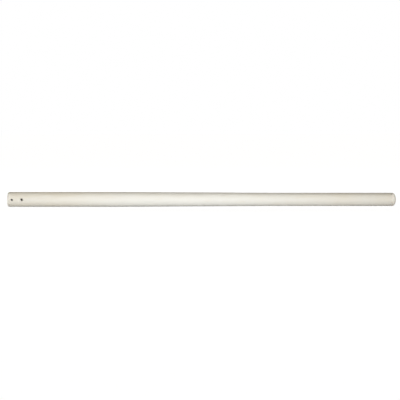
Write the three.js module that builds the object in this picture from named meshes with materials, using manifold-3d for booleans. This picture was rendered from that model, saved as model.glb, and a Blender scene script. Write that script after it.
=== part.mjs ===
// A rigid white cane: a glass-fibre tube in a white sleeve, thicker at the hand than at the foot, closed by
// a drilled plug at the handle end and by a screw-on domed tip at the other.
//
// Millimetres, +Z up. The cane lies along X with its handle end at -X and its tip at +X, and rests on the
// plane Z = 0. The origin is under its middle. A "station" is a distance along the cane's axis, measured
// from the flat face of the handle end towards the tip.

import * as THREE from "three";
import { mergeVertices } from "three/addons/utils/BufferGeometryUtils.js";
import Module from "manifold-3d";

// ---- Driving dimensions ----

const caneLength = 914;
const handleDiameter = 35.2;
const tipDiameter = 31.4;
const gripLength = 265;
const taperLength = 355;
const tubeWall = 2.4;
const sleeveThickness = 0.6;

// Clearances: between the ends of pieces that butt together, and around pieces that slide together.
const seatGap = 0.1;
const slipGap = 0.15;

// The handle plug: its head closes the tube, and its spigot is glued inside it.
const headLength = 5;
const headEdgeRadius = 3.8;
const spigotLength = 54;
const spigotGrooves = 2;

// Glue grooves and chamfers, the same on everything that goes into the tube.
const glueGrooveWidth = 2;
const glueGrooveDepth = 0.5;
const leadChamfer = 1.2;

// The slotted spring pin that locks the plug in the tube, through the hole nearer the end.
const pinStation = 11.2;
const pinDiameter = 4.7;
const pinWall = 0.9;
const pinSlot = 1.2;
const pinSlotAngle = -40;
const pinSetback = 0.5;

// The bush that lines the hole for a wrist strap.
const strapStation = 34.4;
const strapBore = 4.8;
const bushWall = 0.7;
const bushLip = 0.25;

// The tip: a domed head on the tube's end, with a short spigot that centres it.
const tipHeadLength = 12;
const tipEdgeRadius = 6.5;
const tipCrownRadius = 24;
const tipSpigotLength = 8;
const gasketThickness = 0.8;
const gasketSetback = 0.3;

// The stud that the tip screws onto, and what it passes through.
const studDiameter = 8;
const studChamfer = 0.8;
const studSpare = 4;
const tipPlugLength = 42;
const tipPlugGrooves = 3;
const insertDiameter = 12;
const insertLength = 11;
const insertGrooveDepth = 0.6;
const insertGrooveWidth = 3;
const nutAcrossFlats = 13;
const nutThickness = 6.5;
const washerDiameter = 16;
const washerThickness = 1.6;

// Sides of the round pieces, by size. An even number lets the cane rest on a flat.
const sides = 48;
const smallSides = 24;
const arcSteps = 6;

// ---- Places and sizes that follow from them ----

const handleRadius = handleDiameter / 2;
const tipRadius = tipDiameter / 2;
const restHeight = handleRadius * Math.cos(Math.PI / sides);

const tipShoulder = caneLength - tipHeadLength;
const gasketEnd = tipShoulder - seatGap;
const gasketStart = gasketEnd - gasketThickness;
const shaftStart = headLength + seatGap;
const shaftEnd = gasketStart - seatGap;

// The shaft is straight where the hand grips it, narrows evenly, and is straight again down to the tip.
const taperEnd = gripLength + taperLength;

function shaftRadius(station) {
  const share = (station - gripLength) / taperLength;
  return THREE.MathUtils.lerp(handleRadius, tipRadius, THREE.MathUtils.clamp(share, 0, 1));
}

function tubeRadius(station) {
  return shaftRadius(station) - sleeveThickness - slipGap;
}

function boreRadius(station) {
  return tubeRadius(station) - tubeWall;
}

function spigotRadius(station) {
  return boreRadius(station) - slipGap;
}

// What enters the tube from the tip end has to pass the narrow end of its bore.
const tipSpigotRadius = spigotRadius(shaftEnd);
const tipSpigotEnd = tipShoulder - tipSpigotLength;
const tipPlugEnd = tipSpigotEnd - seatGap;
const tipPlugStart = tipPlugEnd - tipPlugLength;

const pinRadius = pinDiameter / 2;
const bushRadius = strapBore / 2 + bushWall;
const crossHoles = [
  { station: pinStation, radius: pinRadius + slipGap },
  { station: strapStation, radius: bushRadius + slipGap },
];

const studRadius = studDiameter / 2;
const studBore = studRadius + slipGap;
const insertRadius = insertDiameter / 2;
const insertStart = tipSpigotEnd + seatGap;
const insertEnd = insertStart + insertLength;
const washerEnd = tipPlugStart - seatGap;
const washerStart = washerEnd - washerThickness;
const nutEnd = washerStart - seatGap;
const nutStart = nutEnd - nutThickness;

// ---- Solids ----

const wasm = await Module();
wasm.setup();

function solidOf(geometry) {
  const bare = geometry.clone();
  bare.deleteAttribute("normal");
  bare.deleteAttribute("uv");
  const merged = mergeVertices(bare, 1e-4);
  return new wasm.Manifold(
    new wasm.Mesh({
      numProp: 3,
      vertProperties: merged.attributes.position.array,
      triVerts: new Uint32Array(merged.index.array),
    }),
  );
}

function geometryOf(solid) {
  const mesh = solid.getMesh();
  const geometry = new THREE.BufferGeometry();
  geometry.setAttribute("position", new THREE.BufferAttribute(mesh.vertProperties, 3));
  geometry.setIndex(new THREE.BufferAttribute(mesh.triVerts, 1));
  geometry.computeVertexNormals();
  return geometry;
}

// A piece turned about the cane's axis, from [station, radius] points. An outline that starts and ends
// on the axis makes a solid piece, and a closed one makes a ring.
function turned(outline, count = sides) {
  const points = outline.map(([station, radius]) => new THREE.Vector2(radius, station));
  return new THREE.LatheGeometry(points, count, Math.PI / count).rotateZ(-Math.PI / 2);
}

// A ring or tube through a list of stations, with its inner and outer radius at each.
function ring(stations, innerRadius, outerRadius, count = sides) {
  const outside = stations.map((station) => [station, outerRadius(station)]);
  const inside = stations.map((station) => [station, innerRadius(station)]);
  return turned([...outside, ...inside.reverse(), outside[0]], count);
}

// Points on an arc, from one angle to another in radians, where 0 points at the tip and a quarter turn
// points away from the axis.
function arc(centreStation, centreRadius, radius, from, to) {
  return Array.from({ length: arcSteps + 1 }, (_, step) => {
    const angle = THREE.MathUtils.lerp(from, to, step / arcSteps);
    return [centreStation + radius * Math.cos(angle), centreRadius + radius * Math.sin(angle)];
  });
}

// A round bar across the cane, along Y, that is longer than the cane is wide.
function crossBar(station, radius) {
  const bar = new THREE.CylinderGeometry(radius, radius, 2 * handleDiameter, smallSides);
  return bar.translate(station, 0, 0);
}

function crossDrilled(geometry) {
  const drilled = crossHoles.reduce(
    (solid, hole) => solid.subtract(solidOf(crossBar(hole.station, hole.radius))),
    solidOf(geometry),
  );
  return geometryOf(drilled);
}

// The points of glue grooves shared out between two stations of an outline with a given radius.
function glueGrooves(from, to, count, radiusAt) {
  const pitch = (to - from) / count;
  return Array.from({ length: count }, (_, index) => {
    const middle = from + pitch * (index + 0.5);
    const start = middle - glueGrooveWidth / 2;
    const end = middle + glueGrooveWidth / 2;
    return [
      [start, radiusAt(start)],
      [start, radiusAt(start) - glueGrooveDepth],
      [end, radiusAt(end) - glueGrooveDepth],
      [end, radiusAt(end)],
    ];
  }).flat();
}

// ---- The pieces ----

const shaftStations = [shaftStart, gripLength, taperEnd, shaftEnd];

function shaftTube() {
  return crossDrilled(ring(shaftStations, boreRadius, tubeRadius));
}

function whiteSleeve() {
  const inside = (station) => shaftRadius(station) - sleeveThickness;
  return crossDrilled(ring(shaftStations, inside, shaftRadius));
}

function handlePlug() {
  const end = shaftStart + spigotLength;
  const grooveStart = strapStation + bushRadius;
  const outline = [
    [0, 0],
    ...arc(headEdgeRadius, handleRadius - headEdgeRadius, headEdgeRadius, Math.PI, Math.PI / 2),
    [headLength, handleRadius],
    [headLength, spigotRadius(headLength)],
    ...glueGrooves(grooveStart, end - leadChamfer, spigotGrooves, spigotRadius),
    [end - leadChamfer, spigotRadius(end)],
    [end, spigotRadius(end) - leadChamfer],
    [end, 0],
  ];
  return crossDrilled(turned(outline));
}

// A rolled steel pin: a tube across the cane with a slot down its whole length.
function plugPin() {
  const length = 2 * (shaftRadius(pinStation) - pinSetback);
  const halfSlot = Math.asin(pinSlot / 2 / pinRadius);
  const slotAt = THREE.MathUtils.degToRad(pinSlotAngle);
  const section = new THREE.Shape();
  section.absarc(0, 0, pinRadius, slotAt + halfSlot, slotAt - halfSlot + 2 * Math.PI, false);
  section.absarc(0, 0, pinRadius - pinWall, slotAt - halfSlot + 2 * Math.PI, slotAt + halfSlot, true);
  const options = { depth: length, bevelEnabled: false, curveSegments: smallSides };
  return new THREE.ExtrudeGeometry(section, options)
    .translate(0, 0, -length / 2)
    .rotateX(Math.PI / 2)
    .translate(pinStation, 0, 0);
}

// The strap bush: a tube across the cane whose ends lie just inside the sleeve's surface.
function strapBush() {
  const sideDrop = Math.sqrt(shaftRadius(strapStation) ** 2 - bushRadius ** 2);
  const bore = strapBore / 2;
  const outline = [
    [bore, -sideDrop + bushLip],
    [bore + bushLip, -sideDrop],
    [bushRadius, -sideDrop],
    [bushRadius, sideDrop],
    [bore + bushLip, sideDrop],
    [bore, sideDrop - bushLip],
    [bore, -sideDrop + bushLip],
  ];
  const points = outline.map(([radius, along]) => new THREE.Vector2(radius, along));
  return new THREE.LatheGeometry(points, smallSides).translate(strapStation, 0, 0);
}

function tipGasket() {
  return ring(
    [gasketStart, gasketEnd],
    () => boreRadius(shaftEnd) + gasketSetback,
    () => tipRadius - gasketSetback,
  );
}

// The dome is a wide crown with a small round edge, and the two meet without a corner.
function glideTip() {
  const edgeInset = tipRadius - tipEdgeRadius;
  const reach = tipCrownRadius - tipEdgeRadius;
  const crownCentre = caneLength - tipCrownRadius;
  const edgeCentre = crownCentre + Math.sqrt(reach ** 2 - edgeInset ** 2);
  const meeting = Math.asin(edgeInset / reach);
  const boreAround = insertRadius + slipGap;
  const outline = [
    [insertEnd + seatGap, 0],
    [insertEnd + seatGap, boreAround],
    [tipSpigotEnd, boreAround],
    [tipSpigotEnd, tipSpigotRadius - leadChamfer],
    [tipSpigotEnd + leadChamfer, tipSpigotRadius],
    [tipShoulder, tipSpigotRadius],
    [tipShoulder, tipRadius],
    ...arc(edgeCentre, edgeInset, tipEdgeRadius, Math.PI / 2, meeting),
    ...arc(crownCentre, 0, tipCrownRadius, meeting, 0).slice(1),
  ];
  return turned(outline);
}

function tipPlug() {
  const outline = [
    [tipPlugStart, studBore],
    [tipPlugStart, tipSpigotRadius - leadChamfer],
    [tipPlugStart + leadChamfer, tipSpigotRadius],
    ...glueGrooves(
      tipPlugStart + leadChamfer,
      tipPlugEnd - leadChamfer,
      tipPlugGrooves,
      () => tipSpigotRadius,
    ),
    [tipPlugEnd - leadChamfer, tipSpigotRadius],
    [tipPlugEnd, tipSpigotRadius - leadChamfer],
    [tipPlugEnd, studBore],
    [tipPlugStart, studBore],
  ];
  return turned(outline);
}

function tipStud() {
  const start = nutStart - studSpare;
  const end = insertEnd - seatGap;
  const outline = [
    [start, 0],
    [start, studRadius - studChamfer],
    [start + studChamfer, studRadius],
    [end - studChamfer, studRadius],
    [end, studRadius - studChamfer],
    [end, 0],
  ];
  return turned(outline, smallSides);
}

// The threaded insert moulded into the tip, waisted so that it can't pull out.
function tipInsert() {
  const middle = (insertStart + insertEnd) / 2;
  const waistStart = middle - insertGrooveWidth / 2;
  const waistEnd = middle + insertGrooveWidth / 2;
  const outline = [
    [insertStart, studBore],
    [insertStart, insertRadius],
    [waistStart, insertRadius],
    [waistStart, insertRadius - insertGrooveDepth],
    [waistEnd, insertRadius - insertGrooveDepth],
    [waistEnd, insertRadius],
    [insertEnd, insertRadius],
    [insertEnd, studBore],
    [insertStart, studBore],
  ];
  return turned(outline, smallSides);
}

function studWasher() {
  return ring([washerStart, washerEnd], () => studBore, () => washerDiameter / 2, smallSides);
}

function studNut() {
  const corner = nutAcrossFlats / 2 / Math.cos(Math.PI / 6);
  const section = new THREE.Shape();
  for (let side = 0; side < 6; side += 1) {
    const angle = (side * Math.PI) / 3;
    const place = [corner * Math.cos(angle), corner * Math.sin(angle)];
    if (side === 0) section.moveTo(...place);
    else section.lineTo(...place);
  }
  section.closePath();
  section.holes.push(new THREE.Path().absarc(0, 0, studBore, 0, 2 * Math.PI, true));
  const options = { depth: nutThickness, bevelEnabled: false, curveSegments: smallSides };
  return new THREE.ExtrudeGeometry(section, options)
    .rotateY(Math.PI / 2)
    .translate(nutStart, 0, 0);
}

// ---- Finishes ----

const finish = (color, roughness, metalness) =>
  new THREE.MeshStandardMaterial({ color, roughness, metalness });

const whiteFilm = finish(0xe9e6db, 0.35, 0);
const whiteNylon = finish(0xe6e2d7, 0.42, 0);
const dulledNylon = finish(0xbfbaaf, 0.46, 0);
const glassFibre = finish(0xb9b295, 0.5, 0);
const naturalNylon = finish(0xd8d2bd, 0.5, 0);
const paleRubber = finish(0xe2ded4, 0.7, 0);
const springSteel = finish(0x8c8a86, 0.35, 1);
const zincSteel = finish(0xb6b8ba, 0.3, 1);
const brass = finish(0xb08d4a, 0.35, 1);

// ---- The cane ----

const cane = new THREE.Group();
cane.position.set(-caneLength / 2, 0, restHeight);

function add(name, geometry, material) {
  const piece = new THREE.Mesh(geometry, material);
  piece.name = name;
  cane.add(piece);
}

add("white_sleeve", whiteSleeve(), whiteFilm);
add("shaft_tube", shaftTube(), glassFibre);
add("handle_plug", handlePlug(), whiteNylon);
add("plug_pin", plugPin(), springSteel);
add("strap_bush", strapBush(), dulledNylon);
add("glide_tip", glideTip(), whiteNylon);
add("tip_gasket", tipGasket(), paleRubber);
add("tip_plug", tipPlug(), naturalNylon);
add("tip_stud", tipStud(), zincSteel);
add("tip_insert", tipInsert(), brass);
add("stud_washer", studWasher(), zincSteel);
add("stud_nut", studNut(), zincSteel);

const part = new THREE.Group();
part.add(cane);

export default part;
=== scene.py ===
"""The finished surfaces of a rigid white cane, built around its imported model, with a plain studio."""

from math import asin, cos, pi, radians, sin, sqrt, tan

import bmesh
import bpy
from bpy.props import FloatProperty, FloatVectorProperty, IntProperty, PointerProperty
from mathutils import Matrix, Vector


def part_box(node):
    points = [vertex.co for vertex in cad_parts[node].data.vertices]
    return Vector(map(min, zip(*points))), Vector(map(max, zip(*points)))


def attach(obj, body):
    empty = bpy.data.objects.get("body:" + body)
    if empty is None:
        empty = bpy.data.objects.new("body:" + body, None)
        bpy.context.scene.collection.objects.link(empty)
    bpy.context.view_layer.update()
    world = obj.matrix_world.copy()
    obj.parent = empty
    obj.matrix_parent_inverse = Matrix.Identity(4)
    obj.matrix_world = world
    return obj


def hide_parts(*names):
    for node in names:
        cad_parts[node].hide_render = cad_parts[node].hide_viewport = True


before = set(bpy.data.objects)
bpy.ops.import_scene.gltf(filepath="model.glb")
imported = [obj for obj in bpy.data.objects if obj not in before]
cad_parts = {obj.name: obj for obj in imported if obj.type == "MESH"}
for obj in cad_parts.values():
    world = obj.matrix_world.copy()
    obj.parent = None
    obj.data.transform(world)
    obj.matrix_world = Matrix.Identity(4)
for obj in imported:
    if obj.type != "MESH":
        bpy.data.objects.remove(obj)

bl_info = {
    "name": "White Cane",
    "version": (1, 0, 0),
    "blender": (4, 5, 0),
    "location": "View3D > Sidebar > White Cane",
    "description": "Builds the sleeve, plugs, pin, bush, tip and inner fastenings of a white cane",
    "category": "Mesh",
}

MM = 0.001
ONLY_BODY = "root"


# ---- Places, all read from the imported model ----


def span(node):
    """The stations at which a node starts and ends, measured from the handle end."""
    low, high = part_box(node)
    return low.x - HANDLE_END, high.x - HANDLE_END


def outer_radius(node):
    """Half the height of a round node."""
    low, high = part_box(node)
    return (high.z - low.z) / 2


def cross_reach(node):
    """How far a node that lies across the cane reaches to each side of its axis."""
    low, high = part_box(node)
    return (high.y - low.y) / 2


def cross_station(node):
    """The station of the middle of a node that lies across the cane."""
    start, end = span(node)
    return (start + end) / 2


HANDLE_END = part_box("handle_plug")[0].x
AXIS_HEIGHT = (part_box("white_sleeve")[0].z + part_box("white_sleeve")[1].z) / 2
CANE_LENGTH = span("glide_tip")[1]
HANDLE_RADIUS = outer_radius("white_sleeve")
TIP_RADIUS = outer_radius("glide_tip")
PIN_STATION = cross_station("plug_pin")
STRAP_STATION = cross_station("strap_bush")
SHAFT_START, SHAFT_END = span("white_sleeve")

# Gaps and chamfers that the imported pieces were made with.
END_GAP = 0.1 * MM
LEAD_CHAMFER = 1.2 * MM
BORE_SHADE_EDGE = 0.6 * MM          # how gradually the painted shade in a cross-hole ends

# The floor. Its glow is weaker beside the cane, where the lamps light it too, than it is further off.
FLOOR_HALF_WIDTH = 12
FLOOR_GREY = 0.36
GLOW_BESIDE, GLOW_AWAY = 0.875, 0.965
BESIDE, AWAY = 0.1, 0.7        # metres to each side of the cane
GLOW_OVAL = 0.35               # width over length of the ovals in which the glow grows

LAMP_TARGET = Vector((-0.06, 0, AXIS_HEIGHT))

# Columns around the large, the middling and the small round pieces, and around a cross-hole.
SIDES = 144
MIDDLE_SIDES = 96
SMALL_SIDES = 64
PATCH_COLUMNS = 6
PATCH_RINGS = 4
HOLE_SIDES = 8 * PATCH_COLUMNS
ROUND_STEPS = 4

# The longest steps between stations, near the cross-holes and along the rest of the shaft.
HOLE_STEP = 1.5 * MM
SHAFT_STEP = 12 * MM


# ---- Settings that a user would change ----


class CaneSizes(bpy.types.PropertyGroup):
    """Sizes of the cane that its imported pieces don't give by their outer corners."""

    grip_length: FloatProperty(
        name="Grip length", description="Straight stretch at the hand", default=265 * MM, unit="LENGTH")
    taper_length: FloatProperty(
        name="Taper length", description="Stretch over which the shaft narrows", default=355 * MM,
        unit="LENGTH")
    film_thickness: FloatProperty(
        name="Sleeve thickness", description="Wall of the white sleeve", default=0.6 * MM, unit="LENGTH")
    tube_wall: FloatProperty(
        name="Tube wall", description="Wall of the glass-fibre tube", default=2.4 * MM, unit="LENGTH")
    slip_gap: FloatProperty(
        name="Clearance", description="Gap around pieces that slide together", default=0.15 * MM,
        unit="LENGTH")
    rim_round: FloatProperty(
        name="Rim rounding", description="Radius on the edges of the cross-holes", default=0.22 * MM,
        unit="LENGTH")
    head_edge: FloatProperty(
        name="Handle edge", description="Radius on the edge of the handle end", default=3.8 * MM,
        unit="LENGTH")
    tip_edge: FloatProperty(
        name="Tip edge", description="Radius between the tip's side and its crown", default=6.5 * MM,
        unit="LENGTH")
    tip_crown: FloatProperty(
        name="Tip crown", description="Radius of the tip's crown", default=24 * MM, unit="LENGTH")
    strap_bore: FloatProperty(
        name="Strap bore", description="Diameter of the bush's bore", default=4.8 * MM, unit="LENGTH")
    pin_wall: FloatProperty(
        name="Pin wall", description="Thickness of the rolled pin", default=0.9 * MM, unit="LENGTH")
    pin_slot: FloatProperty(
        name="Pin slot", description="Width of the slot in the rolled pin", default=1.2 * MM,
        unit="LENGTH")
    pin_turn: FloatProperty(
        name="Pin turn", description="Which way the slot faces, up from the tip's side",
        default=radians(-40), unit="ROTATION")
    thread_pitch: FloatProperty(
        name="Thread pitch", description="Distance between two turns of the stud's thread",
        default=1.25 * MM, unit="LENGTH")
    knurl_teeth: IntProperty(
        name="Knurl teeth", description="Ridges around the brass insert", default=32, min=12)


class CaneColours(bpy.types.PropertyGroup):
    """Base colours of the cane's finishes."""

    film: FloatVectorProperty(
        name="Sleeve", description="White sleeve", subtype="COLOR", default=(0.87, 0.862, 0.806))
    # Also painted onto the sleeve's upper side as warm light from above, besides its own yellowing.
    film_yellowed_and_warm_lit: FloatVectorProperty(
        name="Aged sleeve", description="Sleeve where it has yellowed", subtype="COLOR",
        default=(0.83, 0.76, 0.62))
    nylon: FloatVectorProperty(
        name="White nylon", description="Handle plug and tip", subtype="COLOR",
        default=(0.86, 0.815, 0.735))
    bush: FloatVectorProperty(
        name="Bush nylon", description="Liner of the strap hole", subtype="COLOR",
        default=(0.52, 0.49, 0.43))
    natural: FloatVectorProperty(
        name="Natural nylon", description="Plug inside the tip end", subtype="COLOR",
        default=(0.69, 0.64, 0.50))
    # Also painted as shade along the cane's top and bottom edges and round the cross-holes.
    scuff_and_shade: FloatVectorProperty(
        name="Scuff", description="Dirt rubbed into scratches", subtype="COLOR",
        default=(0.36, 0.34, 0.30))
    # Near black, painted as shade inside the cross-holes and beside the pin's hole.
    painted_bore_shade: FloatVectorProperty(
        name="Grime", description="Dirt inside the cross-holes", subtype="COLOR",
        default=(0.030, 0.026, 0.019))
    gasket: FloatVectorProperty(
        name="Gasket", description="Ring behind the tip", subtype="COLOR", default=(0.76, 0.73, 0.66))
    fibre: FloatVectorProperty(
        name="Glass fibre", description="Tube under the sleeve", subtype="COLOR",
        default=(0.50, 0.46, 0.30))
    spring_steel: FloatVectorProperty(
        name="Spring steel", description="Rolled pin", subtype="COLOR", default=(0.18, 0.172, 0.16))
    zinc: FloatVectorProperty(
        name="Zinc", description="Stud, washer and nut", subtype="COLOR", default=(0.56, 0.57, 0.59))
    brass: FloatVectorProperty(
        name="Brass", description="Insert in the tip", subtype="COLOR", default=(0.66, 0.45, 0.16))


class StudioSettings(bpy.types.PropertyGroup):
    """Camera and lamps."""

    camera_distance: FloatProperty(
        name="Camera distance", description="From the camera to the cane", default=3.0, unit="LENGTH")
    camera_rise: FloatProperty(
        name="Camera rise", description="How far the camera looks down", default=radians(3.8),
        unit="ROTATION")
    aim_x: FloatProperty(
        name="Aim along", description="Where along the cane the camera looks", default=-4.5 * MM,
        unit="LENGTH")
    aim_z: FloatProperty(
        name="Aim height", description="Above the cane's axis", default=-1.6 * MM, unit="LENGTH")
    lens: FloatProperty(
        name="Lens", description="Focal length in millimetres", default=114.6, subtype="NONE")
    key_power: FloatProperty(
        name="Key", description="Power of the large front lamp", default=14.8, unit="POWER")
    fill_power: FloatProperty(
        name="Fill", description="Power of each side lamp", default=8.6, unit="POWER")
    back_power: FloatProperty(
        name="Back", description="Power of the low lamp behind the cane", default=17.0, unit="POWER")
    top_power: FloatProperty(
        name="Top", description="Power of the high lamp behind the cane", default=4.5, unit="POWER")
    ambient: FloatVectorProperty(
        name="Ambient", description="Even light from all around", subtype="COLOR",
        default=(0.105, 0.095, 0.080))


# ---- Outlines ----


def rounded(corners, steps=ROUND_STEPS):
    """The points of an outline of (station, radius, rounding) corners, each rounded off by its arc."""
    points = []
    for index, (station, radius, rounding) in enumerate(corners):
        corner = Vector((station, radius))
        if not rounding:
            points.append(corner)
            continue
        to_last = (Vector(corners[index - 1][:2]) - corner).normalized()
        to_next = (Vector(corners[(index + 1) % len(corners)][:2]) - corner).normalized()
        half = to_last.angle(to_next) / 2
        centre = corner + (to_last + to_next).normalized() * (rounding / sin(half))
        arm = rounding / tan(half)
        first = corner + to_last * arm - centre
        last = corner + to_next * arm - centre
        points += [centre + first.slerp(last, step / steps) * rounding for step in range(steps + 1)]
    return points


def shaft_radius(station):
    """The cane's radius: straight at the hand, narrowing evenly, and straight again at the foot."""
    sizes = bpy.context.scene.cane_sizes
    share = (station - sizes.grip_length) / sizes.taper_length
    share = min(max(share, 0), 1)
    return HANDLE_RADIUS + share * (TIP_RADIUS - HANDLE_RADIUS)


def evenly(start, end, longest):
    """Stations between two others, spaced evenly and no further apart than the longest step."""
    count = max(1, round((end - start) / longest + 0.5))
    return [start + (end - start) * step / count for step in range(1, count)]


# ---- Meshes ----


def around(station, radius, sides=SIDES):
    """A ring of places around the cane's axis, from its -Y side on, or the one place on the axis."""
    if radius <= 0:
        return [on_cane(station, 0, 0)]
    return [on_cane(station, radius, 2 * pi * side / sides) for side in range(sides)]


def on_cane(station, radius, turn):
    """A place by its station, its distance from the axis, and its turn up from the -Y side."""
    return Vector((HANDLE_END + station, -radius * cos(turn), AXIS_HEIGHT + radius * sin(turn)))


def loft(mesh, rings, closed=False):
    """Joins rings of places with faces. A ring of one place is a pole. Returns the rings' vertices."""
    made = [[mesh.verts.new(place) for place in ring] for ring in rings]
    pairs = list(zip(made, made[1:]))
    if closed:
        pairs.append((made[-1], made[0]))
    for ring, following in pairs:
        bridge(mesh, ring, following)
    return made


def bridge(mesh, ring, following):
    """Joins two rings of vertices, either of which may be a pole."""
    count = max(len(ring), len(following))
    for side in range(count):
        after = (side + 1) % count
        corners = [ring[side % len(ring)], ring[after % len(ring)],
                   following[after % len(following)], following[side % len(following)]]
        mesh.faces.new(list(dict.fromkeys(corners)))


class DrilledSkin:
    """A surface turned about the cane's axis, with round holes across it along Y.

    The outline is a list of (station, radius) points that holds a full set of patch stations around
    each hole, and each hole is (station, radius). Round the hole, the surface's squares give way to
    rings that end in a rounded rim. inward is 1 where the rim turns towards the axis, and -1 where it
    turns away from it. rims holds the last ring of each hole, first at the -Y side, then at +Y.
    """

    def __init__(self, mesh, outline, holes, rim_round, inward=1, sides=SIDES):
        self.mesh = mesh
        self.outline = outline
        self.sides = sides
        self.grid = {}
        self.skipped = set()
        self.rims = []
        for hole in holes:
            for front in (True, False):
                self.rims.append(self.drill(hole, front, rim_round, inward))
        self.fill()

    def vertex(self, row, column):
        """The vertex at a row and column, made when it is first asked for."""
        station, radius = self.outline[row]
        column = column % self.sides if radius > 0 else 0
        if (row, column) not in self.grid:
            place = on_cane(station, radius, 2 * pi * column / self.sides)
            self.grid[row, column] = self.mesh.verts.new(place)
        return self.grid[row, column]

    def drill(self, hole, front, rim_round, inward):
        """Makes one hole's patch and rim, and returns the rim's last ring."""
        hole_station, hole_radius = hole
        reach = PATCH_COLUMNS
        middle = min(range(len(self.outline)), key=lambda row: abs(self.outline[row][0] - hole_station))
        radius = self.outline[middle][1]
        turn_at = (lambda up: up) if front else (lambda up: pi - up)
        column_at = (lambda step: step) if front else (lambda step: self.sides // 2 - step)

        for row in range(middle - reach, middle + reach):
            for step in range(-reach, reach):
                self.skipped.add((row, (column_at(step) - (0 if front else 1)) % self.sides))

        square = [(-reach, step) for step in range(-reach, reach)]
        square += [(step, reach) for step in range(-reach, reach)]
        square += [(reach, -step) for step in range(-reach, reach)]
        square += [(-step, -reach) for step in range(-reach, reach)]
        ring = [self.vertex(middle + along, column_at(up)) for along, up in square]

        column_turn = 2 * pi / self.sides
        row_step = self.outline[middle + 1][0] - self.outline[middle][0]
        for patch_ring in range(1, PATCH_RINGS + 1):
            share = patch_ring / PATCH_RINGS
            places = []
            for index, (along, up) in enumerate(square):
                rim = hole_place(index, hole_radius + rim_round, radius)
                flat = (along * row_step, up * column_turn)
                station = hole_station + flat[0] + share * (rim[0] - flat[0])
                places.append(on_cane(station, radius, turn_at(flat[1] + share * (rim[1] - flat[1]))))
            ring = self.extend(ring, places)

        for step in range(1, ROUND_STEPS + 1):
            lean = step / ROUND_STEPS * pi / 2
            depth = rim_round * (1 - cos(lean)) * inward
            places = []
            for index in range(HOLE_SIDES):
                along, up = hole_place(index, hole_radius + rim_round * (1 - sin(lean)), radius)
                place = on_cane(hole_station + along, radius, turn_at(up))
                place.y += depth if front else -depth
                places.append(place)
            ring = self.extend(ring, places)
        return ring

    def extend(self, ring, places):
        """Adds a ring of new vertices inside the last one."""
        following = [self.mesh.verts.new(place) for place in places]
        bridge(self.mesh, ring, following)
        return following

    def fill(self):
        """Makes the faces between the rows, except where the holes' patches are."""
        for row in range(len(self.outline) - 1):
            for column in range(self.sides):
                if (row, column) in self.skipped:
                    continue
                corners = [self.vertex(row, column), self.vertex(row, column + 1),
                           self.vertex(row + 1, column + 1), self.vertex(row + 1, column)]
                self.mesh.faces.new(list(dict.fromkeys(corners)))

    def ring(self, row):
        """The vertices of one whole row."""
        return [self.vertex(row, column) for column in range(self.sides)]


def hole_place(index, hole_radius, radius):
    """The place of one side of a hole: its distance along the cane, and its turn up from the middle."""
    angle = 5 * pi / 4 - 2 * pi * index / HOLE_SIDES
    return hole_radius * cos(angle), asin(hole_radius * sin(angle) / radius)


def patch_stations(hole_station, radius):
    """Evenly spaced stations across a hole's patch, as far apart as the columns are."""
    step = 2 * pi * radius / SIDES
    return [hole_station + step * index for index in range(-PATCH_COLUMNS, PATCH_COLUMNS + 1)]


def drilled_stations(start, end, holes, radius, longest):
    """Stations from start to end with a patch around each hole and even steps between them."""
    stations = [start]
    for hole_station, _ in holes:
        patch = patch_stations(hole_station, radius)
        stations += evenly(stations[-1], patch[0], HOLE_STEP) + patch
    return stations + evenly(stations[-1], end, longest) + [end]


def finished(name, mesh, node, material, sharp=radians(40)):
    """Turns a mesh into the piece that stands for a node, with its material and its place in the cane."""
    bmesh.ops.recalc_face_normals(mesh, faces=mesh.faces)
    data = bpy.data.meshes.new(name)
    mesh.to_mesh(data)
    mesh.free()
    data.shade_smooth()
    data.set_sharp_from_angle(angle=sharp)
    data.materials.append(material)
    piece = bpy.data.objects.new(name, data)
    bpy.context.scene.collection.objects.link(piece)
    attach(piece, ONLY_BODY)
    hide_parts(node)
    return piece


# ---- Materials ----


class Nodes:
    """A node tree in the making."""

    def __init__(self, tree):
        self.tree = tree

    def put(self, socket, value):
        """Sets a socket to a number or a colour, or links it to another node's output."""
        if isinstance(value, bpy.types.NodeSocket):
            self.tree.links.new(value, socket)
        else:
            socket.default_value = value

    def add(self, kind, output, inputs, **settings):
        """Adds a node with its settings and its inputs by name or number, and returns one output."""
        node = self.tree.nodes.new("ShaderNode" + kind)
        for name, value in settings.items():
            setattr(node, name, value)
        for name, value in inputs.items():
            self.put(node.inputs[name], value)
        return node.outputs[output]

    def math(self, operation, first, second=0.0):
        return self.add("Math", 0, {0: first, 1: second}, operation=operation)

    def mix(self, factor, first, second):
        """Mixes two colours."""
        return self.add("Mix", "Result", {"Factor": factor, "A": first, "B": second}, data_type="RGBA")

    def scaled(self, scale):
        """The object's coordinates in metres, each times its own scale."""
        place = self.tree.nodes.get("Texture Coordinate") or self.tree.nodes.new("ShaderNodeTexCoord")
        return self.add("Mapping", "Vector", {"Vector": place.outputs["Object"], "Scale": scale})

    def seen_directly(self):
        """1 where the camera, a reflection or clear glass looks at something, and 0 for soft light."""
        path = self.tree.nodes.new("ShaderNodeLightPath").outputs
        total = path["Is Camera Ray"]
        for name in ("Is Glossy Ray", "Is Transmission Ray"):
            total = self.math("MAXIMUM", total, path[name])
        return total


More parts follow.
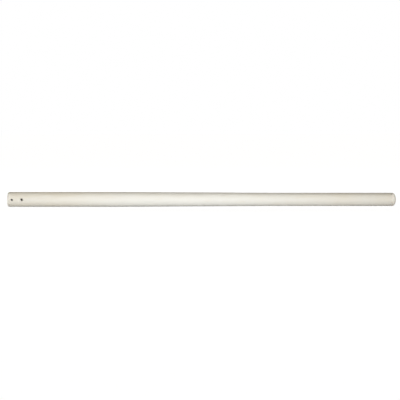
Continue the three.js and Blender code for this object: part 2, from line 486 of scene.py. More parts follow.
class Finish(Nodes):
    """A material in the making: a Principled shader and the nodes that feed it."""

    def __init__(self, name, colour, roughness, metallic=0.0):
        self.material = bpy.data.materials.new(name)
        self.material.use_nodes = True
        super().__init__(self.material.node_tree)
        self.shader = self.tree.nodes["Principled BSDF"]
        self.shader.inputs["Metallic"].default_value = metallic
        self.colour = (*colour, 1)
        self.roughness = roughness
        self.height = None

    def noise(self, along, across, detail=3.0, roughness=0.5, distortion=0.0):
        """Soft noise with this many grains to a metre along the cane and across it."""
        return self.add("TexNoise", "Fac", {
            "Vector": self.scaled((along, across, across)), "Scale": 1.0, "Detail": detail,
            "Roughness": roughness, "Distortion": distortion})

    def between(self, value, low, high, to_low=0.0, to_high=1.0):
        """Maps a value from one range smoothly to another, and holds it there."""
        return self.add("MapRange", "Result", {
            "Value": value, "From Min": low, "From Max": high, "To Min": to_low, "To Max": to_high},
            interpolation_type="SMOOTHSTEP")

    def axis(self, letter):
        """The place along one of the frame's axes, in metres."""
        return self.add("SeparateXYZ", letter, {0: self.scaled((1, 1, 1))})

    def above_axis(self, low, high, to_low=0.0, to_high=1.0):
        """Maps the height above the cane's axis, in radii of the handle end, as between does."""
        height = self.math("SUBTRACT", self.axis("Z"), AXIS_HEIGHT)
        return self.between(height, low * HANDLE_RADIUS, high * HANDLE_RADIUS, to_low, to_high)

    def near_bore(self, station, radius, reach, drop=0.0):
        """1 at a cross-hole's rim, falling to 0 at a distance from it. A drop moves it down and along."""
        middle = (HANDLE_END + station + drop, 0, AXIS_HEIGHT - drop)
        off = self.add("VectorMath", "Value", {0: self.scaled((1, 0, 1)), 1: middle}, operation="DISTANCE")
        return self.between(off, radius, radius + reach, 1.0, 0.0)

    def deeper_than(self, reach):
        """1 further into a cross-hole than a reach from the cane's middle, and 0 outside it."""
        return self.between(self.math("ABSOLUTE", self.axis("Y")), reach - BORE_SHADE_EDGE, reach, 1.0, 0.0)

    def tint(self, colour, amount, strength=1.0):
        """Mixes another colour into the colour so far, by an amount times a strength."""
        if strength != 1:
            amount = self.math("MULTIPLY", amount, strength)
        self.colour = self.mix(amount, self.colour, (*colour, 1))

    def mottle(self, colour, grains, edges, amounts=(0.0, 1.0), **noise):
        """Tints soft patches: by the first amount below the edges, and by the second above them."""
        self.tint(colour, self.between(self.noise(*grains, **noise), *edges, *amounts))

    def paint_edge_shade(self):
        """Painted shade in the scuff colour along the cane's upper side, more of it towards the tip, and
        along the line it lies on.
        """
        upper = self.math("MULTIPLY", self.above_axis(0.5, 0.85),
                          self.between(self.axis("X"), -0.45, 0.45, 0.10, 0.30))
        lower = self.above_axis(-1.0, -0.75, 0.24, 0.0)
        self.tint(bpy.context.scene.cane_colours.scuff_and_shade, self.math("ADD", upper, lower))

    def raise_by(self, value, metres):
        """Adds a value to the surface's height, with this many metres for a value of 1."""
        lifted = self.math("MULTIPLY", value, metres / MM)
        self.height = lifted if self.height is None else self.math("ADD", self.height, lifted)

    def roughen(self, value, amount):
        self.roughness = self.math("ADD", self.roughness, self.math("MULTIPLY", value, amount))

    def done(self, **constants):
        """Links everything to the shader, with constants set on its own sockets."""
        self.put(self.shader.inputs["Base Color"], self.colour)
        self.put(self.shader.inputs["Roughness"], self.roughness)
        for name, value in constants.items():
            self.shader.inputs[name.replace("_", " ")].default_value = value
        bump = self.add("Bump", "Normal", {"Distance": MM, "Strength": 1.0, "Height": self.height})
        self.put(self.shader.inputs["Normal"], bump)
        return self.material


def white_film():
    """Satin white film, a little yellowed towards both ends, with hairlines and a scuffed foot, painted
    warm light on its upper side, and painted shade along its top and bottom edges and round the
    cross-holes.
    """
    colours = bpy.context.scene.cane_colours
    finish = Finish("white_film", colours.film, 0.55)
    along = finish.axis("X")

    ends = finish.math("ADD", finish.between(along, -0.42, -0.12, 0.66, 0.0),
                       finish.between(along, 0.02, 0.45, 0.0, 0.58))
    # The yellowing at the ends is the film's own; the yellowing that grows up the upper side is painted
    # warm light from above.
    yellowed_and_warm_lit = finish.math("ADD", ends, finish.above_axis(-0.2, 1.0, 0.0, 0.48))
    clouds = finish.between(finish.noise(14, 70, detail=4.0, roughness=0.55), 0.3, 0.75, 0.45, 0.95)
    finish.tint(colours.film_yellowed_and_warm_lit, finish.math("MULTIPLY", clouds, yellowed_and_warm_lit))
    finish.mottle(colours.film_yellowed_and_warm_lit, (38, 190), (0.52, 0.75), (0.0, 0.22), detail=5.0)
    # Painted shade along the top and bottom edges.
    finish.paint_edge_shade()

    hairlines = finish.between(finish.noise(22, 2400, detail=2.0, distortion=0.4), 0.62, 0.74)
    hairlines = finish.math("MULTIPLY", hairlines, finish.between(finish.noise(9, 60), 0.40, 0.60))
    finish.tint(colours.scuff_and_shade, hairlines, 0.26)
    finish.mottle(colours.scuff_and_shade, (700, 900), (0.74, 0.80), (0.0, 0.35), detail=2.0)

    scuffs = finish.between(finish.noise(170, 420, detail=6.0, roughness=0.7, distortion=1.2), 0.60, 0.70)
    scuffs = finish.math("MULTIPLY", scuffs, finish.between(along, 0.30, 0.45))
    finish.tint(colours.scuff_and_shade, scuffs, 0.30)

    # Painted shade: darker rings round both cross-holes, and a near-black patch beside the pin's hole,
    # moved down and along.
    for station, radius in cross_holes(0):
        finish.tint(colours.scuff_and_shade, finish.near_bore(station, radius, 1.6 * MM), 0.14)
    finish.tint(colours.painted_bore_shade, finish.near_bore(PIN_STATION, 1.0 * MM, 2.6 * MM, drop=1.0 * MM), 0.36)

    finish.raise_by(finish.noise(150, 260), 0.16 * MM)
    finish.raise_by(finish.noise(600, 900, detail=2.0), 0.03 * MM)
    finish.raise_by(hairlines, -0.012 * MM)
    finish.raise_by(scuffs, -0.015 * MM)
    finish.roughen(finish.noise(60, 240, detail=4.0), 0.12)
    finish.roughen(scuffs, 0.25)
    return finish.done(Specular_IOR_Level=0.08)


def white_nylon(name, colour, worn_from=None, bore_shade_within=None):
    """Moulded white nylon with a fine grain, and painted shade along its top and bottom edges.

    It is scuffed past a station if worn_from gives one, and painted near black, as shade deep in a bore,
    nearer to the middle of the cane, along Y, than the reach it is given for that.
    """
    colours = bpy.context.scene.cane_colours
    finish = Finish(name, colour, 0.46)
    finish.mottle(colours.film_yellowed_and_warm_lit, (60, 90), (0.42, 0.72), (0.08, 0.42), detail=4.0)
    # Painted shade along the top and bottom edges.
    finish.paint_edge_shade()
    finish.raise_by(finish.noise(1500, 1500), 0.018 * MM)
    finish.roughen(finish.noise(300, 300, detail=4.0), 0.14)
    if worn_from is not None:
        worn = finish.between(finish.axis("X"), HANDLE_END + worn_from, HANDLE_END + CANE_LENGTH)
        marks = finish.noise(260, 520, detail=7.0, roughness=0.72, distortion=1.5)
        marks = finish.math("MULTIPLY", finish.between(marks, 0.55, 0.68), worn)
        finish.tint(colours.scuff_and_shade, marks, 0.42)
        finish.raise_by(marks, -0.05 * MM)
        finish.roughen(marks, 0.22)
    if bore_shade_within is None:
        return finish.done(Subsurface_Weight=0.04, Specular_IOR_Level=0.25)
    # Painted shade: near black and rougher deep inside the bore.
    inside = finish.deeper_than(bore_shade_within)
    finish.tint(colours.painted_bore_shade, inside)
    finish.roughen(inside, 0.5)
    return finish.done(Subsurface_Weight=0.04, Specular_IOR_Level=0.04)


def natural_nylon():
    """Unpigmented nylon, slightly cloudy."""
    colours = bpy.context.scene.cane_colours
    finish = Finish("natural_nylon", colours.natural, 0.5)
    finish.mottle(colours.nylon, (120, 120), (0.4, 0.7), (0.0, 0.45), detail=5.0)
    finish.raise_by(finish.noise(1200, 1200), 0.02 * MM)
    return finish.done(Subsurface_Weight=0.05)


def pale_rubber():
    """Matt pale rubber with a fine moulded grain."""
    colours = bpy.context.scene.cane_colours
    finish = Finish("pale_rubber", colours.gasket, 0.72)
    finish.mottle(colours.scuff_and_shade, (500, 500), (0.5, 0.75), (0.0, 0.3), detail=5.0)
    finish.raise_by(finish.noise(2200, 2200), 0.03 * MM)
    return finish.done(Specular_IOR_Level=0.35)


def glass_fibre():
    """Pale resin over long glass strands that run the length of the tube."""
    finish = Finish("glass_fibre", bpy.context.scene.cane_colours.fibre, 0.38)
    strands = finish.noise(5, 900, detail=6.0, roughness=0.65, distortion=0.3)
    finish.tint((0.74, 0.71, 0.56), finish.between(strands, 0.38, 0.66, 0.0, 0.8))
    finish.mottle((0.28, 0.24, 0.13), (3, 1500), (0.6, 0.78), (0.0, 0.5))
    finish.raise_by(strands, 0.05 * MM)
    finish.roughen(strands, 0.2)
    return finish.done(Coat_Weight=0.25, Coat_Roughness=0.15)


def rolled_steel(bore, reach):
    """Spring steel with rolling marks along the pin, and painted shade, near black and not metallic, inside
    its bore.
    """
    colours = bpy.context.scene.cane_colours
    finish = Finish("rolled_spring_steel", colours.spring_steel, 0.45, metallic=1.0)
    finish.mottle((0.06, 0.05, 0.042), (700, 500), (0.45, 0.7), (0.0, 0.7), detail=6.0)
    finish.raise_by(finish.noise(2600, 400), 0.012 * MM)
    finish.roughen(finish.noise(900, 900, detail=4.0), 0.25)
    # Painted shade: near black, rougher and not metallic deep inside the pin's bore.
    inside = finish.near_bore(PIN_STATION, bore, 0.1 * MM)
    inside = finish.math("MULTIPLY", inside, finish.deeper_than(reach))
    finish.tint(colours.painted_bore_shade, inside)
    finish.roughen(inside, 0.6)
    finish.put(finish.shader.inputs["Metallic"], finish.math("SUBTRACT", 1.0, inside))
    return finish.done()


def zinc_plate():
    """Bright zinc plating, with a faint crystalline bloom."""
    finish = Finish("zinc_plate", bpy.context.scene.cane_colours.zinc, 0.26, metallic=1.0)
    finish.mottle((0.44, 0.46, 0.50), (420, 420), (0.42, 0.66), detail=5.0)
    finish.raise_by(finish.noise(1800, 1800), 0.008 * MM)
    finish.roughen(finish.noise(700, 700, detail=5.0), 0.2)
    return finish.done()


def turned_brass():
    """Turned brass with fine tool marks around it and a trace of tarnish."""
    finish = Finish("turned_brass", bpy.context.scene.cane_colours.brass, 0.25, metallic=1.0)
    finish.mottle((0.36, 0.22, 0.08), (380, 380), (0.5, 0.75), (0.0, 0.6), detail=6.0)
    finish.raise_by(finish.noise(5200, 120), 0.01 * MM)
    finish.roughen(finish.noise(800, 800, detail=4.0), 0.2)
    return finish.done()


# ---- The shaft ----


def cross_holes(clearance):
    """Both cross-holes as (station, radius), with a clearance around what goes through them."""
    holes = []
    for node in ("plug_pin", "strap_bush"):
        start, end = span(node)
        holes.append(((start + end) / 2, (end - start) / 2 + clearance))
    return holes


def rounded_ends(stations, radius_at, edge, way):
    """An outline through these stations, with both end edges rounded. way is 1 outside and -1 inside."""
    leans = [step / ROUND_STEPS * pi / 2 for step in range(ROUND_STEPS)]

    def corner(end, inwards, lean):
        station = end + inwards * edge * (1 - cos(lean))
        return station, radius_at(end) - way * edge * (1 - sin(lean))

    first = [corner(SHAFT_START, 1, lean) for lean in leans]
    last = [corner(SHAFT_END, -1, lean) for lean in reversed(leans)]
    return first + [(station, radius_at(station)) for station in stations] + last


def drilled_tube(outside, inside, edge):
    """A tube with the shaft's taper and both cross-holes. outside and inside give radii by station."""
    sizes = bpy.context.scene.cane_sizes
    holes = cross_holes(sizes.slip_gap)
    stations = drilled_stations(
        SHAFT_START + edge, SHAFT_END - edge, holes, outside(SHAFT_START), SHAFT_STEP)
    mesh = bmesh.new()
    outer, inner = (
        DrilledSkin(mesh, rounded_ends(stations, radius_at, edge, way), holes, sizes.rim_round, way)
        for radius_at, way in ((outside, 1), (inside, -1)))
    for outer_rim, inner_rim in zip(outer.rims, inner.rims):
        bridge(mesh, outer_rim, inner_rim)
    last_row = len(outer.outline) - 1
    bridge(mesh, outer.ring(0), inner.ring(0))
    bridge(mesh, outer.ring(last_row), inner.ring(last_row))
    return mesh


def tube_radius(station):
    """Outside of the glass-fibre tube."""
    sizes = bpy.context.scene.cane_sizes
    return shaft_radius(station) - sizes.film_thickness - sizes.slip_gap


def bore_radius(station):
    """Inside of the glass-fibre tube."""
    return tube_radius(station) - bpy.context.scene.cane_sizes.tube_wall


def spigot_radius(station):
    """Outside of what slides into the tube."""
    return bore_radius(station) - bpy.context.scene.cane_sizes.slip_gap


class CANE_OT_white_sleeve(bpy.types.Operator):
    """Makes the white sleeve, with its drilled and rounded cross-holes"""

    bl_idname = "cane.white_sleeve"
    bl_label = "White Sleeve"

    def execute(self, context):
        thickness = context.scene.cane_sizes.film_thickness
        mesh = drilled_tube(shaft_radius, lambda station: shaft_radius(station) - thickness, 0.15 * MM)
        finished("sleeve_of_white_film", mesh, "white_sleeve", white_film())
        return {"FINISHED"}


class CANE_OT_shaft_tube(bpy.types.Operator):
    """Makes the glass-fibre tube under the sleeve"""

    bl_idname = "cane.shaft_tube"
    bl_label = "Glass-fibre Tube"

    def execute(self, context):
        mesh = drilled_tube(tube_radius, bore_radius, 0.3 * MM)
        finished("tube_of_glass_fibre", mesh, "shaft_tube", glass_fibre())
        return {"FINISHED"}


# ---- The handle end ----


def grooves(start, end, count, radius, width=2 * MM, depth=0.5 * MM):
    """The rounded corners of glue grooves shared out evenly between two stations."""
    pitch = (end - start) / count
    corners = []
    for index in range(count):
        middle = start + pitch * (index + 0.5)
        low, high = middle - width / 2, middle + width / 2
        corners += [(low, radius, 0.12 * MM), (low, radius - depth, 0.25 * MM),
                    (high, radius - depth, 0.25 * MM), (high, radius, 0.12 * MM)]
    return corners


class CANE_OT_handle_plug(bpy.types.Operator):
    """Makes the moulded plug that closes the handle end"""

    bl_idname = "cane.handle_plug"
    bl_label = "Handle Plug"

    def execute(self, context):
        sizes = context.scene.cane_sizes
        head_end = SHAFT_START - END_GAP
        plug_end = span("handle_plug")[1]
        spigot = spigot_radius(head_end)
        holes = cross_holes(sizes.slip_gap)
        groove_start = STRAP_STATION + holes[-1][1]

        head = rounded([
            (0, 0, 0), (0, HANDLE_RADIUS / 4, 0), (0, HANDLE_RADIUS / 2, 0),
            (0, HANDLE_RADIUS, sizes.head_edge), (head_end, HANDLE_RADIUS, 0.3 * MM),
            (head_end, spigot, 0.2 * MM), (PIN_STATION, spigot, 0)], steps=8)[:-1]
        stations = drilled_stations(head[-1][0], groove_start, holes, spigot, 2 * MM)[1:]
        foot = rounded([
            (groove_start, spigot, 0), *grooves(groove_start, plug_end - LEAD_CHAMFER, 2, spigot),
            (plug_end - LEAD_CHAMFER, spigot, 0.4 * MM), (plug_end, spigot - LEAD_CHAMFER, 0.4 * MM),
            (plug_end, spigot / 2, 0), (plug_end, 0, 0)])[1:]
        outline = [*head, *((station, spigot) for station in stations), *foot]

        mesh = bmesh.new()
        skin = DrilledSkin(mesh, [tuple(point) for point in outline], holes, sizes.rim_round)
        for front_rim, back_rim in zip(skin.rims[::2], skin.rims[1::2]):
            bridge(mesh, front_rim, back_rim)
        material = white_nylon("white_nylon", context.scene.cane_colours.nylon)
        finished("plug_of_handle_end", mesh, "handle_plug", material)
        return {"FINISHED"}


def across(station, reach, radius, turn):
    """A place on a piece that lies across the cane, by its reach along Y and its turn up from +X."""
    return Vector((HANDLE_END + station + radius * cos(turn), reach, AXIS_HEIGHT + radius * sin(turn)))


class CANE_OT_plug_pin(bpy.types.Operator):
    """Makes the rolled spring pin, slotted down its whole length and chamfered at both ends"""

    bl_idname = "cane.plug_pin"
    bl_label = "Plug Pin"

    def execute(self, context):
        sizes = context.scene.cane_sizes
        start, end = span("plug_pin")
        radius, reach = (end - start) / 2, cross_reach("plug_pin")
        chamfer = 0.45 * MM

        def section(place, outer, inner):
            """One cut through the pin: its outside and then its inside, each from edge to edge."""
            ring = []
            for wall in (outer, inner):
                edge = asin(sizes.pin_slot / 2 / wall)
                turns = [edge + (2 * pi - 2 * edge) * step / SMALL_SIDES for step in range(SMALL_SIDES + 1)]
                turns = turns if wall == outer else reversed(turns)
                ring += [across(PIN_STATION, place, wall, sizes.pin_turn + turn) for turn in turns]
            return ring

        bore, burr = radius - sizes.pin_wall, 0.1 * MM
        end_cuts = [(reach, radius - chamfer / 2, bore + burr),
                    (reach - burr, radius - chamfer / 2.6, bore), (reach - chamfer, radius, bore)]
        cuts = [(-place, *walls) for place, *walls in end_cuts] + [(0, radius, bore)] + end_cuts[::-1]
        mesh = bmesh.new()
        rings = loft(mesh, [section(*cut) for cut in cuts])
        for ring in (rings[0], rings[-1]):
            for step in range(SMALL_SIDES):
                mesh.faces.new([ring[step], ring[step + 1], ring[-2 - step], ring[-1 - step]])
        finished("pin_of_rolled_steel", mesh, "plug_pin", rolled_steel(bore, reach))
        return {"FINISHED"}


class CANE_OT_strap_bush(bpy.types.Operator):
    """Makes the bush that lines the strap hole, with a rounded lip at each end of its bore"""

    bl_idname = "cane.strap_bush"
    bl_label = "Strap Bush"

    def execute(self, context):
        start, end = span("strap_bush")
        radius, reach = (end - start) / 2, cross_reach("strap_bush")
        bore = context.scene.cane_sizes.strap_bore / 2
        lip, rim = 0.45 * MM, 0.12 * MM
        outline = rounded([(-reach, bore, lip), (-reach, radius, rim), (0, radius, 0),
                           (reach, radius, rim), (reach, bore, lip), (0, bore, 0)], steps=6)
        mesh = bmesh.new()
        turns = [2 * pi * side / SMALL_SIDES for side in range(SMALL_SIDES)]
        rings = [[across(STRAP_STATION, place, wall, turn) for turn in turns] for place, wall in outline]
        loft(mesh, rings, closed=True)
        material = white_nylon("bush_nylon", context.scene.cane_colours.bush, bore_shade_within=reach - 0.4 * MM)
        finished("liner_of_strap_hole", mesh, "strap_bush", material)
        return {"FINISHED"}


# ---- The tip end ----


def turned(outline, sides=SIDES, closed=False):
    """A mesh turned about the cane's axis from (station, radius) points."""
    mesh = bmesh.new()
    loft(mesh, [around(station, radius, sides) for station, radius in outline], closed)
    return mesh


def arc(centre, radius, start, end, steps):
    """Points on an arc about a (station, radius) centre, without the first. Angle 0 faces the tip."""
    angles = [start + (end - start) * step / steps for step in range(1, steps + 1)]
    return [(centre[0] + radius * cos(angle), centre[1] + radius * sin(angle)) for angle in angles]


class CANE_OT_glide_tip(bpy.types.Operator):
    """Makes the domed tip, with the bore for its threaded insert"""

    bl_idname = "cane.glide_tip"
    bl_label = "Domed Tip"

    def execute(self, context):
        sizes = context.scene.cane_sizes
        start = span("glide_tip")[0]
        shoulder = span("tip_gasket")[1] + END_GAP
        spigot = spigot_radius(SHAFT_END)
        bore = outer_radius("tip_insert") + sizes.slip_gap
        bottom = span("tip_insert")[1] + END_GAP

        inset, reach = TIP_RADIUS - sizes.tip_edge, sizes.tip_crown - sizes.tip_edge
        crown = (CANE_LENGTH - sizes.tip_crown, 0)
        edge = (crown[0] + sqrt(reach ** 2 - inset ** 2), inset)
        meeting = asin(inset / reach)
        body = rounded([
            (bottom, 0, 0), (bottom, bore, 0.5 * MM), (start, bore, 0.4 * MM),
            (start, spigot, LEAD_CHAMFER), (shoulder, spigot, 0.25 * MM),
            (shoulder, TIP_RADIUS, 0.4 * MM), (edge[0], TIP_RADIUS, 0)])
        dome = arc(edge, sizes.tip_edge, pi / 2, meeting, 14) + arc(crown, sizes.tip_crown, meeting, 0, 18)
        dome[-1] = (CANE_LENGTH, 0)
        material = white_nylon("tip_nylon", context.scene.cane_colours.nylon, worn_from=shoulder)
        finished("domed_tip", turned([*body, *dome]), "glide_tip", material)
        return {"FINISHED"}


class CANE_OT_tip_gasket(bpy.types.Operator):
    """Makes the thin rubber ring between the shaft and the tip"""

    bl_idname = "cane.tip_gasket"
    bl_label = "Tip Gasket"

    def execute(self, context):
        start, end = span("tip_gasket")
        inner, outer = bore_radius(SHAFT_END) + 0.3 * MM, outer_radius("tip_gasket")
        outline = rounded([(start, inner, 0.15 * MM), (start, outer, 0.3 * MM), (end, outer, 0.3 * MM),
                           (end, inner, 0.15 * MM)], steps=6)
        finished("ring_behind_tip", turned(outline, closed=True), "tip_gasket",
                 pale_rubber())
        return {"FINISHED"}


class CANE_OT_tip_plug(bpy.types.Operator):
    """Makes the grooved plug inside the tip end of the tube"""

    bl_idname = "cane.tip_plug"
    bl_label = "Tip Plug"

    def execute(self, context):
        start, end = span("tip_plug")
        outer = outer_radius("tip_plug")
        bore = outer_radius("tip_stud") + context.scene.cane_sizes.slip_gap
        slope = LEAD_CHAMFER
        outline = rounded([
            (start, bore, 0.4 * MM), (start, outer - slope, 0.3 * MM), (start + slope, outer, 0.3 * MM),
            *grooves(start + slope, end - slope, 3, outer),
            (end - slope, outer, 0.3 * MM), (end, outer - slope, 0.3 * MM), (end, bore, 0.4 * MM)])
        finished("plug_of_tip_end", turned(outline, MIDDLE_SIDES, closed=True), "tip_plug",
                 natural_nylon())
        return {"FINISHED"}


class CANE_OT_tip_stud(bpy.types.Operator):
    """Makes the stud with a real thread, run out to plain chamfered ends"""

    bl_idname = "cane.tip_stud"
    bl_label = "Tip Stud"

    def execute(self, context):
        start, end = span("tip_stud")
        mesh = threaded_rod(start, end, outer_radius("tip_stud"), context.scene.cane_sizes.thread_pitch)
        finished("threaded_stud", mesh, "tip_stud", zinc_plate())
        return {"FINISHED"}


def threaded_rod(start, end, crest, pitch, sides=36):
    """A rod with a helical thread between two chamfered ends."""
    depth = 0.6134 * pitch          # as deep as a metric thread
    root = crest - depth
    turns = int((end - start - 2 * LEAD_CHAMFER) / pitch) - 1
    first = start + LEAD_CHAMFER
    fade = 1.5 * sides              # the thread rises and runs out over a turn and a half
    profile = [(0, 0), (5 / 16, 1), (7 / 16, 1), (3 / 4, 0)]

    def place(step, point):
        share, height = profile[point]
        rise = min(1, step / fade, (turns * sides - step) / fade)
        station = first + pitch * (step / sides + share)
        return on_cane(station, root + depth * height * rise, 2 * pi * step / sides)

    mesh = bmesh.new()
    steps = turns * sides
    helix = [[mesh.verts.new(place(step, point)) for point in range(len(profile))]
             for step in range(steps + 1)]
    closing = [mesh.verts.new(on_cane(first + pitch * (step / sides + 1), root, 2 * pi * step / sides))
               for step in range(steps - sides + 1, steps + 1)]
    edge = [helix[step + sides][0] for step in range(steps - sides + 1)] + closing
    strips = [[*helix[step], edge[step]] for step in range(steps + 1)]
    for strip, following in zip(strips, strips[1:]):
        for lower, upper in zip(range(len(profile)), range(1, len(profile) + 1)):
            mesh.faces.new([strip[lower], following[lower], following[upper], strip[upper]])

    chamfer = 0.8 * MM
    cap_rod(mesh, [strip[0] for strip in strips[:sides + 1]], strips[0][-2:0:-1],
            [(start + chamfer, root), (start, root - chamfer), (start, 0)], sides)
    cap_rod(mesh, [strip[-1] for strip in strips[steps - sides:]], strips[steps][1:-1],
            [(end - chamfer, root), (end, root - chamfer), (end, 0)], sides, far_end=True)
    return mesh


def cap_rod(mesh, spiral, seam, outline, sides, far_end=False):
    """Closes one end of a thread: from the spiral edge to a ring, and on through the outline."""
    rings = loft(mesh, [around(station, radius, sides) for station, radius in outline])
    ring = rings[0]
    for side in range(sides):
        corners = [spiral[side], spiral[side + 1], ring[(side + 1) % sides], ring[side]]
        if side == sides - 1 and not far_end:
            corners = [spiral[side], spiral[side + 1], *seam, spiral[0], ring[0], ring[side]]
        if side == 0 and far_end:
            corners = [spiral[0], spiral[1], ring[1], ring[0], spiral[sides], *reversed(seam)]
        mesh.faces.new(corners)


class CANE_OT_tip_insert(bpy.types.Operator):
    """Makes the knurled brass insert, waisted between its two knurled bands"""

    bl_idname = "cane.tip_insert"
    bl_label = "Tip Insert"

    def execute(self, context):
        sizes = context.scene.cane_sizes
        start, end = span("tip_insert")
        outer = outer_radius("tip_insert")
        bore = outer_radius("tip_stud") + sizes.slip_gap
        sides = 6 * sizes.knurl_teeth
        middle, waist = (start + end) / 2, 1.5 * MM

        def knurled(station, radius, depth):
            turns = [2 * pi * side / sides for side in range(sides)]
            return [on_cane(station, radius - depth * (0.5 - 0.5 * cos(sizes.knurl_teeth * turn)), turn)
                    for turn in turns]

        ridge, slope, groove = 0.35 * MM, 0.5 * MM, 0.6 * MM
        half = (end - start) / 2
        far_cuts = [(waist, outer - groove, 0), (waist + 0.2 * MM, outer, ridge),
                    (half - slope, outer, ridge), (half, outer - slope, 0), (half, bore + slope, 0),
                    (half - slope, bore, 0)]
        cuts = [(-place, *walls) for place, *walls in reversed(far_cuts)] + far_cuts
        mesh = bmesh.new()
        loft(mesh, [knurled(middle + place, *walls) for place, *walls in cuts], closed=True)
        finished("knurled_insert", mesh, "tip_insert", turned_brass())
        return {"FINISHED"}


class CANE_OT_washer_and_nut(bpy.types.Operator):
    """Makes the washer and the hexagonal nut that hold the stud in its plug"""

    bl_idname = "cane.washer_and_nut"
    bl_label = "Washer and Nut"

    def execute(self, context):
        bore = outer_radius("tip_stud") + context.scene.cane_sizes.slip_gap
        zinc = zinc_plate()

        start, end = span("stud_washer")
        outer = outer_radius("stud_washer")
        outline = rounded([(start, bore, 0.2 * MM), (start, outer, 0.5 * MM), (end, outer, 0.15 * MM),
                           (end, bore, 0.2 * MM)])
        finished("plain_washer", turned(outline, MIDDLE_SIDES, closed=True), "stud_washer",
                 zinc)

        start, end = span("stud_nut")
        half_flats = cross_reach("stud_nut")
        face, slope = 0.95 * half_flats, 0.6 * MM
        turns = [2 * pi * side / MIDDLE_SIDES for side in range(MIDDLE_SIDES)]

        def hexagon(end_station, inwards):
            """Where a flat or a corner of the nut meets the cone of its chamfer."""
            walls = [half_flats / cos((turn + pi / 6) % (pi / 3) - pi / 6) for turn in turns]
            return [on_cane(end_station + inwards * (wall - face) * tan(pi / 6), wall, turn)
                    for wall, turn in zip(walls, turns)]

        mesh = bmesh.new()
        loft(mesh, [
            around(start + slope, bore, MIDDLE_SIDES), around(start, bore + slope, MIDDLE_SIDES),
            around(start, face, MIDDLE_SIDES), hexagon(start, 1), hexagon(end, -1),
            around(end, face, MIDDLE_SIDES), around(end, bore + slope, MIDDLE_SIDES),
            around(end - slope, bore, MIDDLE_SIDES)], closed=True)
        finished("hexagonal_nut", mesh, "stud_nut", zinc, sharp=radians(25))
        return {"FINISHED"}


# ---- The studio ----


def pale_floor():
    """A pale matt floor that reads as white, and darkens only where the cane shades it."""
    material = bpy.data.materials.new("pale_floor")
    material.use_nodes = True
    nodes = Nodes(material.node_tree)
    nodes.tree.nodes.remove(nodes.tree.nodes["Principled BSDF"])
    off = nodes.add("VectorMath", "Value", {0: nodes.scaled((GLOW_OVAL, 1, 1))}, operation="LENGTH")
    glow = nodes.add("MapRange", "Result", {
        "Value": off, "From Min": BESIDE, "From Max": AWAY, "To Min": GLOW_BESIDE, "To Max": GLOW_AWAY})
    strength = nodes.math("MULTIPLY", nodes.seen_directly(), glow)
    light = nodes.add("Emission", "Emission", {"Strength": strength})
    matt = nodes.add("BsdfDiffuse", "BSDF", {"Color": (FLOOR_GREY, FLOOR_GREY, FLOOR_GREY, 1)})
    both = nodes.add("AddShader", "Shader", {0: matt, 1: light})
    nodes.put(nodes.tree.nodes["Material Output"].inputs["Surface"], both)
    return material


def white_surroundings(ambient):
    """A world that looks white, and lights the cane evenly with the ambient colour."""
    world = bpy.data.worlds.new("studio")
    world.use_nodes = True
    nodes = Nodes(world.node_tree)
    shown = nodes.mix(nodes.seen_directly(), (*ambient, 1), (1, 1, 1, 1))
    nodes.put(nodes.tree.nodes["Background"].inputs["Color"], shown)
    bpy.context.scene.world = world


def softbox(name, place, size, power):
    """A rectangular lamp aimed near the cane's middle. The camera doesn't see it."""
    data = bpy.data.lights.new(name, "AREA")
    data.shape = "RECTANGLE"
    data.size, data.size_y = size
    data.energy = power
    lamp = bpy.data.objects.new(name, data)
    lamp.location = place
    lamp.rotation_euler = (LAMP_TARGET - lamp.location).to_track_quat("-Z", "Y").to_euler()
    lamp.visible_camera = False
    bpy.context.scene.collection.objects.link(lamp)


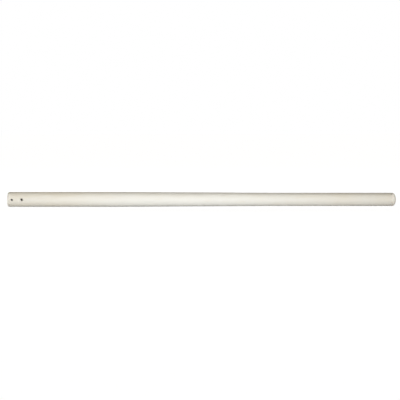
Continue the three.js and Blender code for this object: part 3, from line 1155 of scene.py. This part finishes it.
class CANE_OT_studio(bpy.types.Operator):
    """Makes the camera, the lamps, the pale floor and the white surroundings"""

    bl_idname = "cane.studio"
    bl_label = "Studio"

    def execute(self, context):
        studio = context.scene.cane_studio
        aim = Vector((studio.aim_x, 0, AXIS_HEIGHT + studio.aim_z))
        back = Vector((0, -cos(studio.camera_rise), sin(studio.camera_rise)))
        data = bpy.data.cameras.new("camera")
        data.lens = studio.lens
        camera = bpy.data.objects.new("camera", data)
        camera.location = aim + back * studio.camera_distance
        camera.rotation_euler = (-back).to_track_quat("-Z", "Y").to_euler()
        context.scene.collection.objects.link(camera)
        context.scene.camera = camera
        context.scene.view_settings.view_transform = "Standard"

        softbox("front_lamp", (-0.07, -1.25, 0.10), (0.9, 0.16), studio.key_power)
        softbox("left_lamp", (-1.6, -0.12, 0.09), (0.4, 0.4), studio.fill_power)
        softbox("right_lamp", (1.7, -0.12, 0.09), (0.4, 0.4), studio.fill_power)
        softbox("back_lamp", (0.05, 1.5, 0.13), (1.2, 0.2), studio.back_power)
        softbox("top_lamp", (0.0, 1.2, 1.15), (1.4, 0.7), studio.top_power)
        white_surroundings(studio.ambient)

        mesh = bmesh.new()
        bmesh.ops.create_grid(mesh, x_segments=8, y_segments=8, size=FLOOR_HALF_WIDTH)
        floor_data = bpy.data.meshes.new("floor")
        mesh.to_mesh(floor_data)
        mesh.free()
        floor_data.materials.append(pale_floor())
        floor = bpy.data.objects.new("floor", floor_data)
        context.scene.collection.objects.link(floor)
        return {"FINISHED"}


# ---- The panel ----


OPERATORS = (
    CANE_OT_studio, CANE_OT_white_sleeve, CANE_OT_shaft_tube, CANE_OT_handle_plug, CANE_OT_plug_pin,
    CANE_OT_strap_bush, CANE_OT_glide_tip, CANE_OT_tip_gasket, CANE_OT_tip_plug, CANE_OT_tip_stud,
    CANE_OT_tip_insert, CANE_OT_washer_and_nut,
)


class CANE_PT_panel(bpy.types.Panel):
    """Lists the cane's sizes, colours and lamps, and a button for each of its pieces"""

    bl_idname = "CANE_PT_panel"
    bl_label = "White Cane"
    bl_space_type = "VIEW_3D"
    bl_region_type = "UI"
    bl_category = "White Cane"

    def draw(self, context):
        for heading, group in (("Sizes", context.scene.cane_sizes), ("Colours", context.scene.cane_colours),
                               ("Studio", context.scene.cane_studio)):
            box = self.layout.box()
            box.label(text=heading)
            for name in group.bl_rna.properties.keys():
                if name not in ("rna_type", "name"):
                    box.prop(group, name)
        column = self.layout.column(align=True)
        for operator in OPERATORS:
            column.operator(operator.bl_idname)


CLASSES = (CaneSizes, CaneColours, StudioSettings, *OPERATORS, CANE_PT_panel)


def register():
    for cls in CLASSES:
        bpy.utils.register_class(cls)
    bpy.types.Scene.cane_sizes = PointerProperty(type=CaneSizes)
    bpy.types.Scene.cane_colours = PointerProperty(type=CaneColours)
    bpy.types.Scene.cane_studio = PointerProperty(type=StudioSettings)


def unregister():
    del bpy.types.Scene.cane_studio
    del bpy.types.Scene.cane_colours
    del bpy.types.Scene.cane_sizes
    for cls in reversed(CLASSES):
        bpy.utils.unregister_class(cls)


def corners(box):
    return [list(corner) for corner in box]


def main():
    register()
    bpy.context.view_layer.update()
    for operator in OPERATORS:
        group, name = operator.bl_idname.split(".")
        getattr(getattr(bpy.ops, group), name)()


if __name__ == "__main__":
    main()
